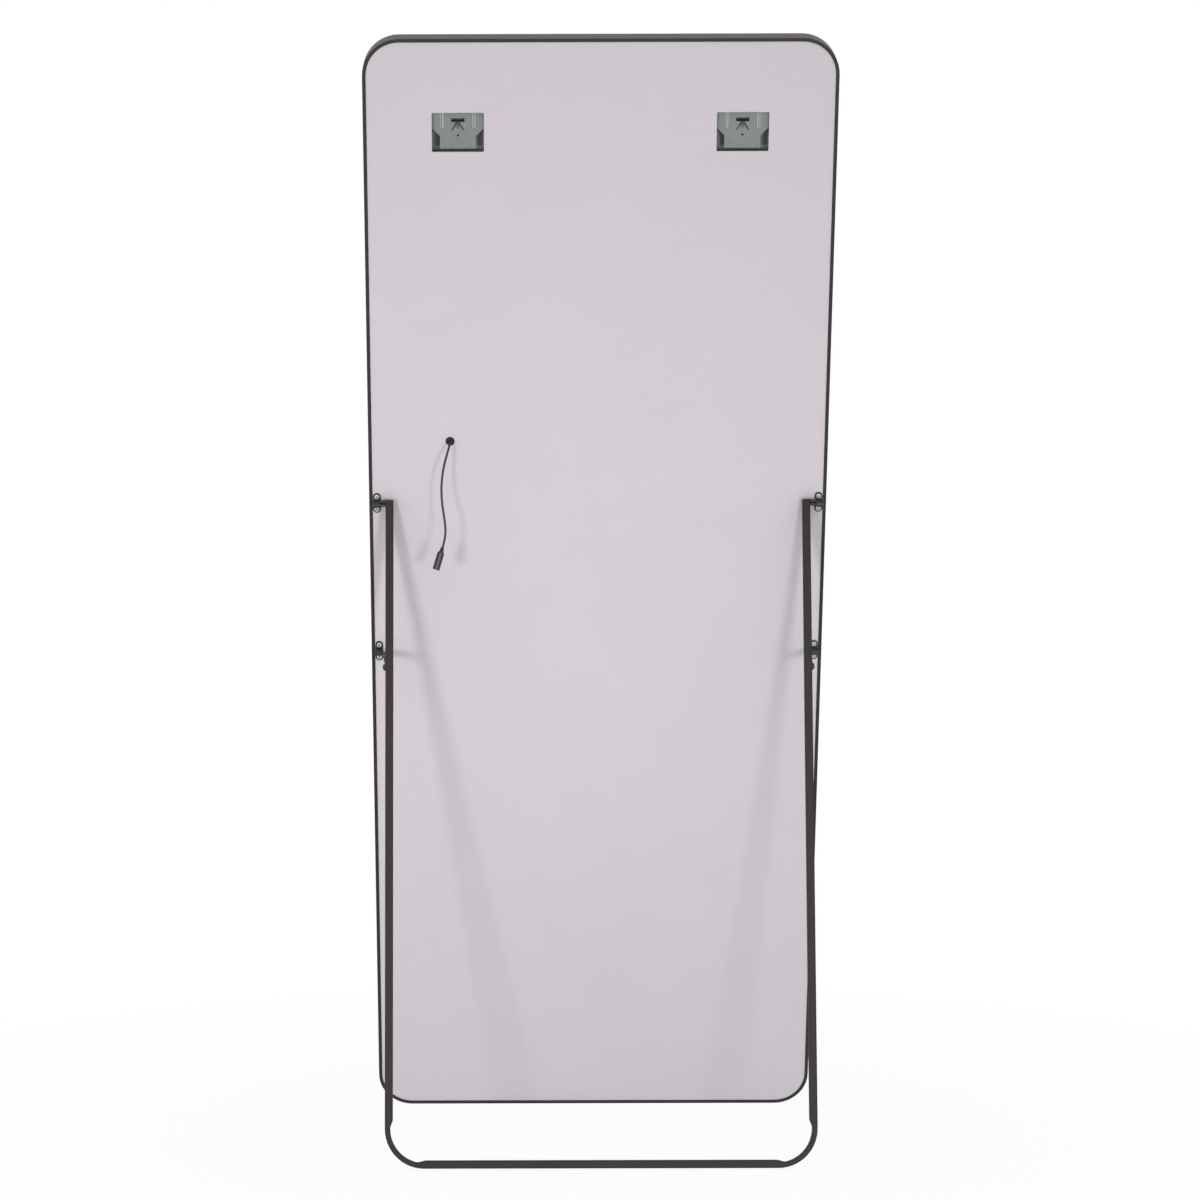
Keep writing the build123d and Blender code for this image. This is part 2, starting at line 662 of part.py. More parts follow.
def leg_cap():
    """Plug for the top of a leg, with a guard that reaches over the bare hinge bolt."""
    lid = box(
        (LEG_INNER, LEG_OUTER),
        (-TUBE_DEPTH / 2, TUBE_DEPTH / 2),
        (TUBE_ABOVE_PIN, TUBE_ABOVE_PIN + CAP_THICK),
    )
    lid = fillet(lid.edges().filter_by(Axis.Z), TUBE_EDGE_RADIUS)
    inside = TUBE_WALL + SLIP_FIT
    plug = box(
        (LEG_INNER + inside, LEG_OUTER - inside),
        (-TUBE_DEPTH / 2 + inside, TUBE_DEPTH / 2 - inside),
        (TUBE_ABOVE_PIN - CAP_PLUG_LENGTH, TUBE_ABOVE_PIN),
    )
    guard = box(
        (LEG_OUTER + SLIP_FIT, LUG_INNER - SEAT_GAP),
        (-CAP_GUARD_DEPTH / 2, CAP_GUARD_DEPTH / 2),
        (CAP_GUARD_BELOW, TUBE_ABOVE_PIN + CAP_THICK),
    )
    bridge = box(
        (LEG_MIDDLE, LEG_OUTER + 1),
        (-CAP_GUARD_DEPTH / 2, CAP_GUARD_DEPTH / 2),
        (TUBE_ABOVE_PIN, TUBE_ABOVE_PIN + CAP_THICK),
    )
    cap = lid + plug + guard + bridge
    bore = (LEG_OUTER, LEG_OUTER - BOLT_REACH - SEAT_GAP)
    return cap - rod_x(PIN_RADIUS + RUNNING_FIT, bore, 0, 0)


# Stay fastening on the leg: a threaded insert inside the tube and a bolt with a low head
def leg_insert():
    start = LEG_OUTER - TUBE_WALL
    insert = rod_x(INSERT_RADIUS, (start, start - INSERT_LENGTH), 0, -LEG_BOLT_DROP)
    return insert - rod_x(
        PIN_RADIUS + RUNNING_FIT, (start + 1, start - INSERT_LENGTH - 1), 0, -LEG_BOLT_DROP
    )


def leg_bolt():
    end = LEG_OUTER - TUBE_WALL - INSERT_LENGTH + 1
    shank = rod_x(PIN_RADIUS, (LEG_LINK_OUTER + RUNNING_FIT, end), 0, -LEG_BOLT_DROP)
    head = Rot(0, 90, 0) * screw_head(PIN_HEAD_RADIUS, LEG_BOLT_HEAD_HEIGHT)
    return shank + Pos(LEG_LINK_OUTER + RUNNING_FIT, 0, -LEG_BOLT_DROP) * head


# Bars of the stay, drawn along Y from their own pivot at the origin
def link_outline(length):
    """Flat bar with round ends, seen from the side, centred on its two pivots."""
    face = SlotCenterToCenter(length, LINK_WIDTH)
    return Plane.YZ * Pos(length / 2, 0) * face


def leg_link_bar():
    bar = extrude(Pos(LEG_LINK_INNER, 0, 0) * link_outline(LEG_LINK_LENGTH), LINK_SHEET)
    across = (LEG_LINK_INNER - 1, LEG_LINK_OUTER + 1)
    bar -= rod_x(PIN_RADIUS + RUNNING_FIT, across, 0, 0)
    return bar - rod_x(KNEE_RIVET_RADIUS + RUNNING_FIT, across, LEG_LINK_LENGTH, 0)


def bracket_link_bar():
    """Joggled bar: its eye lies beside the lug and its knee end beside the leg's bar."""
    end = BRACKET_LINK_LENGTH + LINK_WIDTH
    jog_end = LINK_JOG_START + LINK_JOG_LENGTH
    top_view = Polyline(
        (LINK_EYE_OUTER, -LINK_WIDTH),
        (LINK_EYE_OUTER, LINK_JOG_START),
        (KNEE_OUTER, jog_end),
        (KNEE_OUTER, end),
        (KNEE_INNER, end),
        (KNEE_INNER, jog_end),
        (LINK_EYE_INNER, LINK_JOG_START),
        (LINK_EYE_INNER, -LINK_WIDTH),
        close=True,
    )
    bent = extrude(make_face(top_view), LINK_WIDTH, both=True)
    outline = extrude(Pos(LEG_OUTER, 0, 0) * link_outline(BRACKET_LINK_LENGTH), LUG_INNER - LEG_OUTER)
    bar = bent & outline
    bar -= rod_x(PIN_RADIUS + RUNNING_FIT, (LEG_OUTER, LUG_INNER), 0, 0)
    return bar - rod_x(
        KNEE_RIVET_RADIUS + RUNNING_FIT, (LEG_OUTER, LUG_INNER), BRACKET_LINK_LENGTH, 0
    )


def knee_rivet_head():
    shank = rod_x(KNEE_RIVET_RADIUS, (KNEE_INNER, KNEE_OUTER), BRACKET_LINK_LENGTH, 0)
    head = Rot(0, 90, 0) * screw_head(KNEE_HEAD_RADIUS, KNEE_HEAD_HEIGHT)
    return shank + Pos(KNEE_OUTER, BRACKET_LINK_LENGTH, 0) * head


def knee_rivet_tail():
    return rod_x(KNEE_RIVET_RADIUS, (LEG_LINK_INNER, LEG_LINK_OUTER), LEG_LINK_LENGTH, 0)


# Lead, grommet and socket
def lead_grommet():
    back = PANEL_BACK + GROMMET_FLANGE
    front = PANEL_FRONT - GROMMET_FLANGE
    ring = rod_y(GROMMET_NECK_RADIUS, LEAD_X, (back, front), LEAD_LEVEL)
    rear_flange = rod_y(GROMMET_FLANGE_RADIUS, LEAD_X, (back, PANEL_BACK), LEAD_LEVEL)
    rim = rear_flange.faces().sort_by(Axis.Y)[-1].edges()
    ring += fillet(rim, GROMMET_FLANGE * 2 / 3)
    ring += rod_y(GROMMET_FLANGE_RADIUS, LEAD_X, (PANEL_FRONT, front), LEAD_LEVEL)
    bore = (back + 1, front - 1)
    return ring - rod_y(LEAD_DIAMETER / 2 + RUNNING_FIT, LEAD_X, bore, LEAD_LEVEL)


def tube_on(path):
    """Round lead along a path of straight runs and arcs."""
    start = Plane(origin=path @ 0, z_dir=path % 0)
    return sweep(start * Circle(LEAD_DIAMETER / 2), path=path)


def inner_wiring():
    """From the grommet to the dimmer, and from there down to the light strip."""
    lie = GLASS_BACK + SEAT_GAP + LEAD_DIAMETER / 2
    enter = SWITCH_LEVEL + SWITCH_HEIGHT / 4
    bend = 3 * LEAD_DIAMETER
    supply = FilletPolyline(
        (LEAD_X, PANEL_BACK + GROMMET_FLANGE, LEAD_LEVEL),
        (LEAD_X, lie, LEAD_LEVEL),
        (LEAD_X, lie, enter),
        (SWITCH_WIDTH / 2, lie, enter),
        radius=[bend, 2 * bend],
    )
    strip_end = STRIP_END_GAP / 2
    feed = FilletPolyline(
        (0, lie, SWITCH_LEVEL - SWITCH_HEIGHT / 2),
        (0, lie, SWITCH_LEVEL / 2),
        (strip_end + bend, lie, SWITCH_LEVEL / 2 - bend),
        (strip_end + bend, lie, WALL + SEAT_GAP + STRIP_THICK + SEAT_GAP),
        radius=bend,
    )
    return [tube_on(supply), tube_on(feed)]


def lead_start():
    """Where the free lead comes out, in the standing mirror."""
    return (upright_place * Pos(LEAD_X, PANEL_BACK + GROMMET_FLANGE, LEAD_LEVEL)).position


def lead_points():
    return [lead_start() + Vector(*step) for step in LEAD_ROUTE]


def lead_radii(points):
    """Largest arc that the two runs beside each corner leave room for."""
    radii = []
    for before, here, after in zip(points, points[1:], points[2:]):
        turn = (here - before).get_angle(after - here)
        run = min((here - before).length, (after - here).length)
        radii.append(LEAD_RUN_SHARE * run / tan(radians(turn / 2)))
    return radii


def dc_lead():
    points = lead_points()
    # The first run is squared to the grommet's face
    out = Vector(0, cos(radians(LEAN)), -sin(radians(LEAN)))
    first_run = (points[1] - points[0]).length
    points[1] = points[0] + out * first_run
    radii = lead_radii(points)
    path = FilletPolyline(*points, radius=radii)
    lead = tube_on(path)
    ideal = pi * (LEAD_DIAMETER / 2) ** 2 * path.length
    print("lead length", round(path.length, 1), "least radius", round(min(radii), 1))
    print("lead radii", [round(radius, 1) for radius in radii])
    print("lead volume against section times length", round(lead.volume / ideal, 5))
    return lead


def socket_place():
    points = lead_points()
    return Plane(origin=points[-1], x_dir=(0, 1, 0), z_dir=points[-1] - points[-2])


def socket_body():
    """Moulded body: a tapered relief on the lead's side and a round body with the bore."""
    end = RELIEF_LENGTH + SOCKET_LENGTH
    half_section = Polyline(
        (0, 0),
        (RELIEF_START_RADIUS, 0),
        (RELIEF_END_RADIUS, RELIEF_LENGTH),
        (SOCKET_RADIUS - RELIEF_SHOULDER, RELIEF_LENGTH),
        (SOCKET_RADIUS, RELIEF_LENGTH + RELIEF_SHOULDER),
        (SOCKET_RADIUS, end),
        (SOCKET_BORE_RADIUS, end),
        (SOCKET_BORE_RADIUS, end - SOCKET_BORE_DEPTH),
        (0, end - SOCKET_BORE_DEPTH),
        close=True,
    )
    return socket_place() * revolve(Plane.XZ * make_face(half_section), Axis.Z)


def socket_pin():
    end = RELIEF_LENGTH + SOCKET_LENGTH
    length = SOCKET_BORE_DEPTH - SOCKET_PIN_INSET
    pin = Cylinder(SOCKET_PIN_RADIUS, length, align=(Align.CENTER, Align.CENTER, Align.MIN))
    pin = fillet(pin.edges().sort_by(Axis.Z)[-1], SOCKET_PIN_RADIUS / 2)
    return socket_place() * Pos(0, 0, end - SOCKET_BORE_DEPTH) * pin


def stay_pieces():
    """Pieces of the right stay, placed with the stand open."""
    pin_place = upright_place * Pos(0, PIN_RISE, STAY_LEVEL) * Rot(STAY_RISE_ANGLE, 0, 0)
    bolt_place = upright_place * Pos(0, PIN_RISE, STAY_LEVEL) * Pos(0, STAY_OUT, STAY_UP)
    bolt_place = bolt_place * Rot(STAY_RISE_ANGLE + 180, 0, 0)
    return {
        "bracket_link": pin_place * bracket_link_bar(),
        "knee_rivet": pin_place * knee_rivet_head(),
        "leg_link": bolt_place * leg_link_bar(),
        "knee_tail": bolt_place * knee_rivet_tail(),
    }


def build_nodes():
    nodes = {}
    mirror_pieces = {
        "frame_profile": frame_profile(),
        "frame_splice": frame_splice(),
        "splice_screws": splice_screw_set(0),
        "mirror_glass": sheet(WALL + GLASS_GAP, GLASS_BACK, GLASS_THICK),
        "back_panel": back_panel(),
        "led_strip": led_strip(),
        "touch_switch": touch_switch(),
        "inner_wiring": inner_wiring(),
        "lead_grommet": lead_grommet(),
        "hanger_rail": hanger_rail(),
        "rail_rivets": rail_rivets(),
        "bracket_screws": bracket_screws(),
        "hinge_bolts": both_sides(hinge_bolt()),
        "stay_pins": both_sides(stay_pin()),
    }
    sided = {
        "hanger_plate": hanger_plate(),
        "hinge_bracket": bracket(HINGE_LEVEL),
        "stay_bracket": bracket(STAY_LEVEL),
    }
    for name, piece in sided.items():
        right, left = both_sides(piece)
        mirror_pieces[name + "_right"] = right
        mirror_pieces[name + "_left"] = left
    for name, piece in mirror_pieces.items():
        nodes[name] = [upright_place * solid for solid in as_list(piece)]

    cap_right, cap_left = both_sides(leg_cap())
    stand_pieces = {
        "stand_tube": stand_tube(),
        "leg_cap_right": cap_right,
        "leg_cap_left": cap_left,
        "leg_inserts": both_sides(leg_insert()),
        "leg_bolts": both_sides(leg_bolt()),
    }
    for name, piece in stand_pieces.items():
        nodes[name] = [stand_place * solid for solid in as_list(piece)]

    for name, piece in stay_pieces().items():
        right, left = both_sides(piece)
        nodes[name + "_right"] = [right]
        nodes[name + "_left"] = [left]

    nodes["dc_lead"] = [dc_lead()]
    nodes["socket_body"] = [socket_body()]
    nodes["socket_pin"] = [socket_pin()]
    return nodes


def as_list(piece):
    return list(piece) if isinstance(piece, (list, tuple)) else [piece]


# The origin lies on the floor, below the middle of the object without its free lead
FREE_LEAD = ("dc_lead", "socket_body", "socket_pin")

nodes = build_nodes()
standing = [solid for name, solids in nodes.items() if name not in FREE_LEAD for solid in solids]
middle = Compound(children=[Compound(solid.solids()) for solid in standing]).bounding_box().center()
to_origin = Pos(0, -middle.Y, 0)

os.makedirs("parts", exist_ok=True)
for name, solids in nodes.items():
    moved = [to_origin * found for solid in solids for found in solid.solids()]
    shape = moved[0] if len(moved) == 1 else Compound(moved)
    export_step(shape, f"parts/{name}.step")

print("moved back by", round(middle.Y, 3))
print("hinge at Y, Z", round(HINGE_Y - middle.Y, 3), round(HINGE_Z, 3))
print("stay pin rise angle", round(STAY_RISE_ANGLE, 3), "links", BRACKET_LINK_LENGTH, LEG_LINK_LENGTH)
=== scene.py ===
# A full-length floor mirror seen from behind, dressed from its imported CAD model. The glass faces
# -Y and leans back, the stand is on the +Y side, and the lead hangs on the right side, +X.
# All lengths are in metres.
import math

import bpy
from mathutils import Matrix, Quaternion, Vector


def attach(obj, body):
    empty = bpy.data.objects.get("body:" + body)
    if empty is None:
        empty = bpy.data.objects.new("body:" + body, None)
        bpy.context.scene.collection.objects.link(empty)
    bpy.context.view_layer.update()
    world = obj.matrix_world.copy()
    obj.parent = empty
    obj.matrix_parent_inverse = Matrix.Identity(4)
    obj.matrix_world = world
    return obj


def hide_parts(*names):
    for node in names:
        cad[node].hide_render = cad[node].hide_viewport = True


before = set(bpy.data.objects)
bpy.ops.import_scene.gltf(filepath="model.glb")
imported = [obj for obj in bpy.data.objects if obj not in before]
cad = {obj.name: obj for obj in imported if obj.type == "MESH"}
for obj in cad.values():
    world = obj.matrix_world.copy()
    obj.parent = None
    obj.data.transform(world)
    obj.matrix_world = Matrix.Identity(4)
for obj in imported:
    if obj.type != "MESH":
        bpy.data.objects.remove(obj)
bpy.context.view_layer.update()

# Camera: a long lens about 5.4 m behind the mirror, a little to its right side and at chest
# height, as in the photograph. It looks square to the back, so the framing needs a sideways shift.
CAMERA_PLACE = (0.14144, 5.39842, 1.1638)
CAMERA_LOOK = (0.00165, -0.99834, -0.05763)
CAMERA_ROLL = math.radians(-0.146)
CAMERA_LENS = 102.926
CAMERA_SENSOR = 36
CAMERA_SHIFT = 0.08234

camera = bpy.data.objects.new("camera", bpy.data.cameras.new("camera"))
camera.location = CAMERA_PLACE
camera_turn = Vector(CAMERA_LOOK).to_track_quat("-Z", "Y") @ Quaternion((0, 0, 1), CAMERA_ROLL)
camera.rotation_euler = camera_turn.to_euler()
camera.data.lens = CAMERA_LENS
camera.data.sensor_width = CAMERA_SENSOR
camera.data.shift_x = CAMERA_SHIFT
bpy.context.scene.collection.objects.link(camera)
bpy.context.scene.camera = camera
bpy.context.scene.view_settings.view_transform = "Standard"

# Lead: the free stretch of a thin two-core lead in a soft PVC sleeve. It leaves the grommet
# square to the panel, drops under its own weight and keeps a slight double curve from packing.
LEAD_EXIT = (0.2285, 0.09632, 1.1032)
LEAD_DIAMETER = 0.0035
LEAD_STEPS = [
    (0, 0, 0),
    (0, 0.0105, -0.0034),
    (0.0022, 0.0185, -0.0115),
    (0.0058, 0.0228, -0.024),
    (0.0103, 0.0246, -0.042),
    (0.0130, 0.0249, -0.063),
    (0.0132, 0.0246, -0.085),
    (0.0107, 0.0241, -0.107),
    (0.0072, 0.0238, -0.128),
    (0.0072, 0.0237, -0.148),
    (0.0116, 0.0236, -0.1625),
]
LEAD_ROUNDNESS = 5
LEAD_SMOOTHNESS = 12
LEAD_CURVE_ORDER = 3
GRAIN_DETAIL = 4.0
GRAIN_RELIEF = 0.6
COLOUR_SPAN = (0.3, 0.7)


def from_hex(code):
    """Colour of an sRGB hex code, as the linear values that shaders take, by the sRGB formula."""
    parts = [int(code[i : i + 2], 16) / 255 for i in (1, 3, 5)]
    return tuple(c / 12.92 if c <= 0.04045 else ((c + 0.055) / 1.055) ** 2.4 for c in parts) + (1,)


def add_node(tree, kind, inputs, **settings):
    """Adds a node: its settings by name, its inputs by name or number, each a value, a link or a
    list of links."""
    node = tree.nodes.new(kind)
    for name, value in settings.items():
        setattr(node, name, value)
    for name, value in inputs.items():
        links = value if isinstance(value, list) else [value]
        if isinstance(links[0], bpy.types.NodeSocket):
            for link in links:
                tree.links.new(link, node.inputs[name])
        else:
            node.inputs[name].default_value = value
    return node


def new_finish(name, dark, light, roughness, grain, depth, metallic=0.0, ior=None, stretch=None):
    """Material with one shader and its grain: a noise of one real size, in metres, that moves the
    colour between two hex values, the roughness between two values and the surface by a depth.
    A stretch packs the grain closer along an axis, and a metal keeps the shader's own IOR."""
    material = bpy.data.materials.new(name)
    material.use_nodes = True
    tree = material.node_tree
    shader = tree.nodes["Principled BSDF"]
    shader.inputs["Metallic"].default_value = metallic
    if ior:
        shader.inputs["IOR"].default_value = ior
    place = add_node(tree, "ShaderNodeTexCoord", {}).outputs["Object"]
    if stretch:
        place = add_node(tree, "ShaderNodeMapping", {"Vector": place, "Scale": stretch}).outputs[0]
    noise_inputs = {"Vector": place, "Scale": 1 / grain, "Detail": GRAIN_DETAIL}
    shade = add_node(tree, "ShaderNodeTexNoise", noise_inputs).outputs["Fac"]
    ramp = add_node(tree, "ShaderNodeValToRGB", {"Fac": shade})
    for stop, position, code in zip(ramp.color_ramp.elements, COLOUR_SPAN, (dark, light)):
        stop.position = position
        stop.color = from_hex(code)
    gloss_inputs = {"Value": shade, "To Min": roughness[0], "To Max": roughness[1]}
    gloss = add_node(tree, "ShaderNodeMapRange", gloss_inputs)
    bump_inputs = {"Height": shade, "Distance": depth, "Strength": GRAIN_RELIEF}
    bump = add_node(tree, "ShaderNodeBump", bump_inputs)
    tree.links.new(ramp.outputs["Color"], shader.inputs["Base Color"])
    tree.links.new(gloss.outputs["Result"], shader.inputs["Roughness"])
    tree.links.new(bump.outputs["Normal"], shader.inputs["Normal"])
    return material


def finish_nodes(material, *names):
    """Gives CAD nodes one material."""
    for name in names:
        cad[name].data.materials.clear()
        cad[name].data.materials.append(material)


# The sleeve is an even black with a dull sheen and a faint pebbling from the extrusion die.
sleeve = new_finish(
    "extruded PVC sleeve",
    dark="#191818",
    light="#232221",
    roughness=(0.42, 0.55),
    grain=0.0012,
    depth=0.00004,
    ior=1.52,
)

lead_line = bpy.data.curves.new("lead", "CURVE")
lead_line.dimensions = "3D"
lead_line.bevel_depth = LEAD_DIAMETER / 2
lead_line.bevel_resolution = LEAD_ROUNDNESS
lead_line.resolution_u = LEAD_SMOOTHNESS
lead_line.use_fill_caps = True
lead_route = lead_line.splines.new("NURBS")
lead_route.points.add(len(LEAD_STEPS) - 1)
for point, step in zip(lead_route.points, LEAD_STEPS):
    point.co = (*(Vector(LEAD_EXIT) + Vector(step)), 1)
lead_route.order_u = LEAD_CURVE_ORDER
lead_route.use_endpoint_u = True
lead = bpy.data.objects.new("lead", lead_line)
bpy.context.scene.collection.objects.link(lead)
lead_line.materials.append(sleeve)
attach(lead, "mirror")
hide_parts("dc_lead")
finish_nodes(sleeve, "inner_wiring")

# Studio: a pale paper floor that the camera sees as white, a little darker only in the shadow of
# the object, and two soft boxes with grids at knee height behind the mirror, one each side.
FLOOR_SIZE = 30
FLOOR_TONE = "#DEDDDB"
FLOOR_ROUGHNESS = 0.9
WHITE = "#FFFFFF"
WHITE_NEAR = 0.92
WHITE_RADIUS = (0.6, 1.5)
LAMPS = {"lamp_right": ((1.82, 3.9, 0.55), 6.3), "lamp_left": ((-1.16, 4.1, 0.55), 5.5)}
LAMP_AIM = (0.1, -0.05, 0.62)
LAMP_SIZE = 0.58
LAMP_SPREAD = math.radians(72)
SURROUND_STRENGTH = 0.65


def looked_at(tree):
    """1 where a surface is seen, by the camera, in a reflection or through glass, and 0 where it
    only sends light on."""
    path = add_node(tree, "ShaderNodeLightPath", {}).outputs
    seen = path["Is Camera Ray"]
    for ray in ("Is Glossy Ray", "Is Transmission Ray"):
        either = add_node(tree, "ShaderNodeMath", {0: seen, 1: path[ray]}, operation="MAXIMUM")
        seen = either.outputs[0]
    return seen


floor_mesh = bpy.data.meshes.new("floor")
floor_end = FLOOR_SIZE / 2
floor_corners = [(x * floor_end, y * floor_end, 0) for x, y in ((-1, -1), (1, -1), (1, 1), (-1, 1))]
floor_mesh.from_pydata(floor_corners, [], [(0, 1, 2, 3)])
floor = bpy.data.objects.new("floor", floor_mesh)
bpy.context.scene.collection.objects.link(floor)

# Sockets 6 and 7 of a mix of colours are its two colours, and its output 2 is the result.
paper = bpy.data.materials.new("matt studio paper")
paper.use_nodes = True
paper_tree = paper.node_tree
paper_shader = paper_tree.nodes["Principled BSDF"]
paper_shader.inputs["Roughness"].default_value = FLOOR_ROUGHNESS
paper_seen = looked_at(paper_tree)
paper_tones = {0: paper_seen, 6: from_hex(FLOOR_TONE), 7: from_hex(WHITE)}
paper_tone = add_node(paper_tree, "ShaderNodeMix", paper_tones, data_type="RGBA").outputs[2]
paper_tree.links.new(paper_tone, paper_shader.inputs["Base Color"])
paper_place = add_node(paper_tree, "ShaderNodeTexCoord", {}).outputs["Object"]
paper_reach = add_node(paper_tree, "ShaderNodeVectorMath", {0: paper_place}, operation="LENGTH")
whiteness = add_node(
    paper_tree,
    "ShaderNodeMapRange",
    {
        "Value": paper_reach.outputs["Value"],
        "From Min": WHITE_RADIUS[0],
        "From Max": WHITE_RADIUS[1],
        "To Min": WHITE_NEAR,
        "To Max": 1.0,
    },
)
white_share = add_node(
    paper_tree,
    "ShaderNodeMath",
    {0: paper_seen, 1: whiteness.outputs["Result"]},
    operation="MULTIPLY",
)
white = add_node(paper_tree, "ShaderNodeEmission", {"Color": from_hex(WHITE), "Strength": 1.0})
paper_blend = add_node(
    paper_tree,
    "ShaderNodeMixShader",
    {0: white_share.outputs[0], 1: paper_shader.outputs[0], 2: white.outputs[0]},
)
paper_surface = paper_tree.nodes["Material Output"].inputs["Surface"]
paper_tree.links.new(paper_blend.outputs[0], paper_surface)
floor_mesh.materials.append(paper)

world = bpy.data.worlds.new("studio surround")
bpy.context.scene.world = world
world.use_nodes = True
surround_tree = world.node_tree
surround = surround_tree.nodes["Background"]
surround.inputs["Color"].default_value = from_hex(WHITE)
strength = add_node(
    surround_tree,
    "ShaderNodeMapRange",
    {"Value": looked_at(surround_tree), "To Min": SURROUND_STRENGTH, "To Max": 1.0},
)
surround_tree.links.new(strength.outputs["Result"], surround.inputs["Strength"])

for lamp_name, (lamp_place, lamp_power) in LAMPS.items():
    lamp_data = bpy.data.lights.new(lamp_name, "AREA")
    lamp_data.energy = lamp_power
    lamp_data.size = LAMP_SIZE
    lamp_data.spread = LAMP_SPREAD
    lamp = bpy.data.objects.new(lamp_name, lamp_data)
    lamp.location = lamp_place
    lamp_look = Vector(LAMP_AIM) - Vector(lamp_place)
    lamp.rotation_euler = lamp_look.to_track_quat("-Z", "Y").to_euler()
    bpy.context.scene.collection.objects.link(lamp)

# Frame: one extruded aluminium section bent round the glass and closed at the bottom. It is
# anodised black, so it has a thin hard skin with a satin sheen and a faint even grain.
anodised = new_finish(
    "black anodised aluminium",
    dark="#161514",
    light="#1F1E1C",
    roughness=(0.42, 0.54),
    grain=0.0016,
    depth=0.00002,
    ior=1.45,
)
finish_nodes(anodised, "frame_profile")

# Splice bar and rivets: mill-finish aluminium, bright grey with drawn lines that run level. The
# bar lies inside the frame's seam, and the rivets hold the rail and the hanger plates.
mill = new_finish(
    "mill-finish aluminium",
    dark="#B6B8BA",
    light="#CDCFD1",
    roughness=(0.3, 0.48),
    grain=0.003,
    depth=0.00003,
    metallic=1.0,
    stretch=(1, 1, 8),
)
finish_nodes(mill, "frame_splice", "rail_rivets")

# Mirror glass: float glass silvered on its back face, so a clean bright reflection with the faint
# green of the glass. The silvering is sealed with grey paint, and near the edge it is blasted off
# in a narrow band, which the light strip lights from behind.
LEAN = math.radians(17.2)
PANEL_FOOT = (0, -0.24503, -0.0002)
PANEL_SIDE = (1, 0, 0)
PANEL_UP = (0, math.sin(LEAN), math.cos(LEAN))
PANEL_OUT = (0, math.cos(LEAN), -math.sin(LEAN))
GLASS_HALF_WIDTH = 0.3527
GLASS_HALF_HEIGHT = 0.8877
GLASS_CORNER = 0.0527
GLASS_MIDDLE = 0.89
GLASS_DEPTH = -0.0345
BAND_INSET = 0.022
BAND_HALF_WIDTH = 0.004
BAND_COLOUR = "#E4E9E6"
BACK_PAINT = "#B2B5B6"
UNSILVERED_ROUGHNESS = 0.5


def across_panel(tree, direction):
    """Distance of the shaded point from the foot of the panel's back face, along a direction. The
    panel leans back, so its own directions aren't the axes."""
    place = add_node(tree, "ShaderNodeTexCoord", {}).outputs["Object"]
    from_foot = {0: place, 1: PANEL_FOOT}
    offset = add_node(tree, "ShaderNodeVectorMath", from_foot, operation="SUBTRACT").outputs[0]
    along = {0: offset, 1: direction}
    return add_node(tree, "ShaderNodeVectorMath", along, operation="DOT_PRODUCT").outputs["Value"]


def lay_over(tree, *layers):
    """Lays colours over a finish, each a share of the surface and a hex code."""
    base = tree.nodes["Principled BSDF"].inputs["Base Color"]
    colour = base.links[0].from_socket
    for share, code in layers:
        colours = {0: share, 6: colour, 7: from_hex(code)}
        colour = add_node(tree, "ShaderNodeMix", colours, data_type="RGBA").outputs[2]
    tree.links.new(colour, base)


silvered = new_finish(
    "silvered float glass",
    dark="#EBF1EE",
    light="#F0F4F1",
    roughness=(0.012, 0.022),
    grain=0.4,
    depth=0.0,
    metallic=1.0,
)
glass_tree = silvered.node_tree

# The paint is on the faces that lie behind the middle of the glass's thickness.
painted = add_node(
    glass_tree,
    "ShaderNodeMath",
    {0: across_panel(glass_tree, PANEL_OUT), 1: GLASS_DEPTH},
    operation="GREATER_THAN",
).outputs[0]

# The band is set by the distance to the rounded edge of the glass, which is the corner radius
# less how far a point lies past the centre of the nearest corner's arc.
glass_height = add_node(
    glass_tree,
    "ShaderNodeMath",
    {0: across_panel(glass_tree, PANEL_UP), 1: GLASS_MIDDLE},
    operation="SUBTRACT",
)
glass_place = add_node(
    glass_tree,
    "ShaderNodeCombineXYZ",
    {"X": across_panel(glass_tree, PANEL_SIDE), "Y": glass_height.outputs[0]},
)
quarter_place = add_node(
    glass_tree, "ShaderNodeVectorMath", {0: glass_place.outputs[0]}, operation="ABSOLUTE"
)
arc_centre = (GLASS_HALF_WIDTH - GLASS_CORNER, GLASS_HALF_HEIGHT - GLASS_CORNER, 0)
past = add_node(
    glass_tree,
    "ShaderNodeVectorMath",
    {0: quarter_place.outputs[0], 1: arc_centre},
    operation="SUBTRACT",
).outputs[0]
past_corner = add_node(
    glass_tree, "ShaderNodeVectorMath", {0: past, 1: (0, 0, 0)}, operation="MAXIMUM"
)
outside = add_node(
    glass_tree, "ShaderNodeVectorMath", {0: past_corner.outputs[0]}, operation="LENGTH"
)
past_parts = add_node(glass_tree, "ShaderNodeSeparateXYZ", {"Vector": past}).outputs
furthest = add_node(
    glass_tree, "ShaderNodeMath", {0: past_parts["X"], 1: past_parts["Y"]}, operation="MAXIMUM"
)
inside = add_node(
    glass_tree, "ShaderNodeMath", {0: furthest.outputs[0], 1: 0.0}, operation="MINIMUM"
)
past_arc = add_node(
    glass_tree,
    "ShaderNodeMath",
    {0: outside.outputs["Value"], 1: inside.outputs[0]},
    operation="ADD",
)
to_edge = add_node(
    glass_tree, "ShaderNodeMath", {0: GLASS_CORNER, 1: past_arc.outputs[0]}, operation="SUBTRACT"
)
frosted = add_node(
    glass_tree,
    "ShaderNodeMath",
    {0: to_edge.outputs[0], 1: BAND_INSET, 2: BAND_HALF_WIDTH},
    operation="COMPARE",
).outputs[0]
lay_over(glass_tree, (frosted, BAND_COLOUR), (painted, BACK_PAINT))

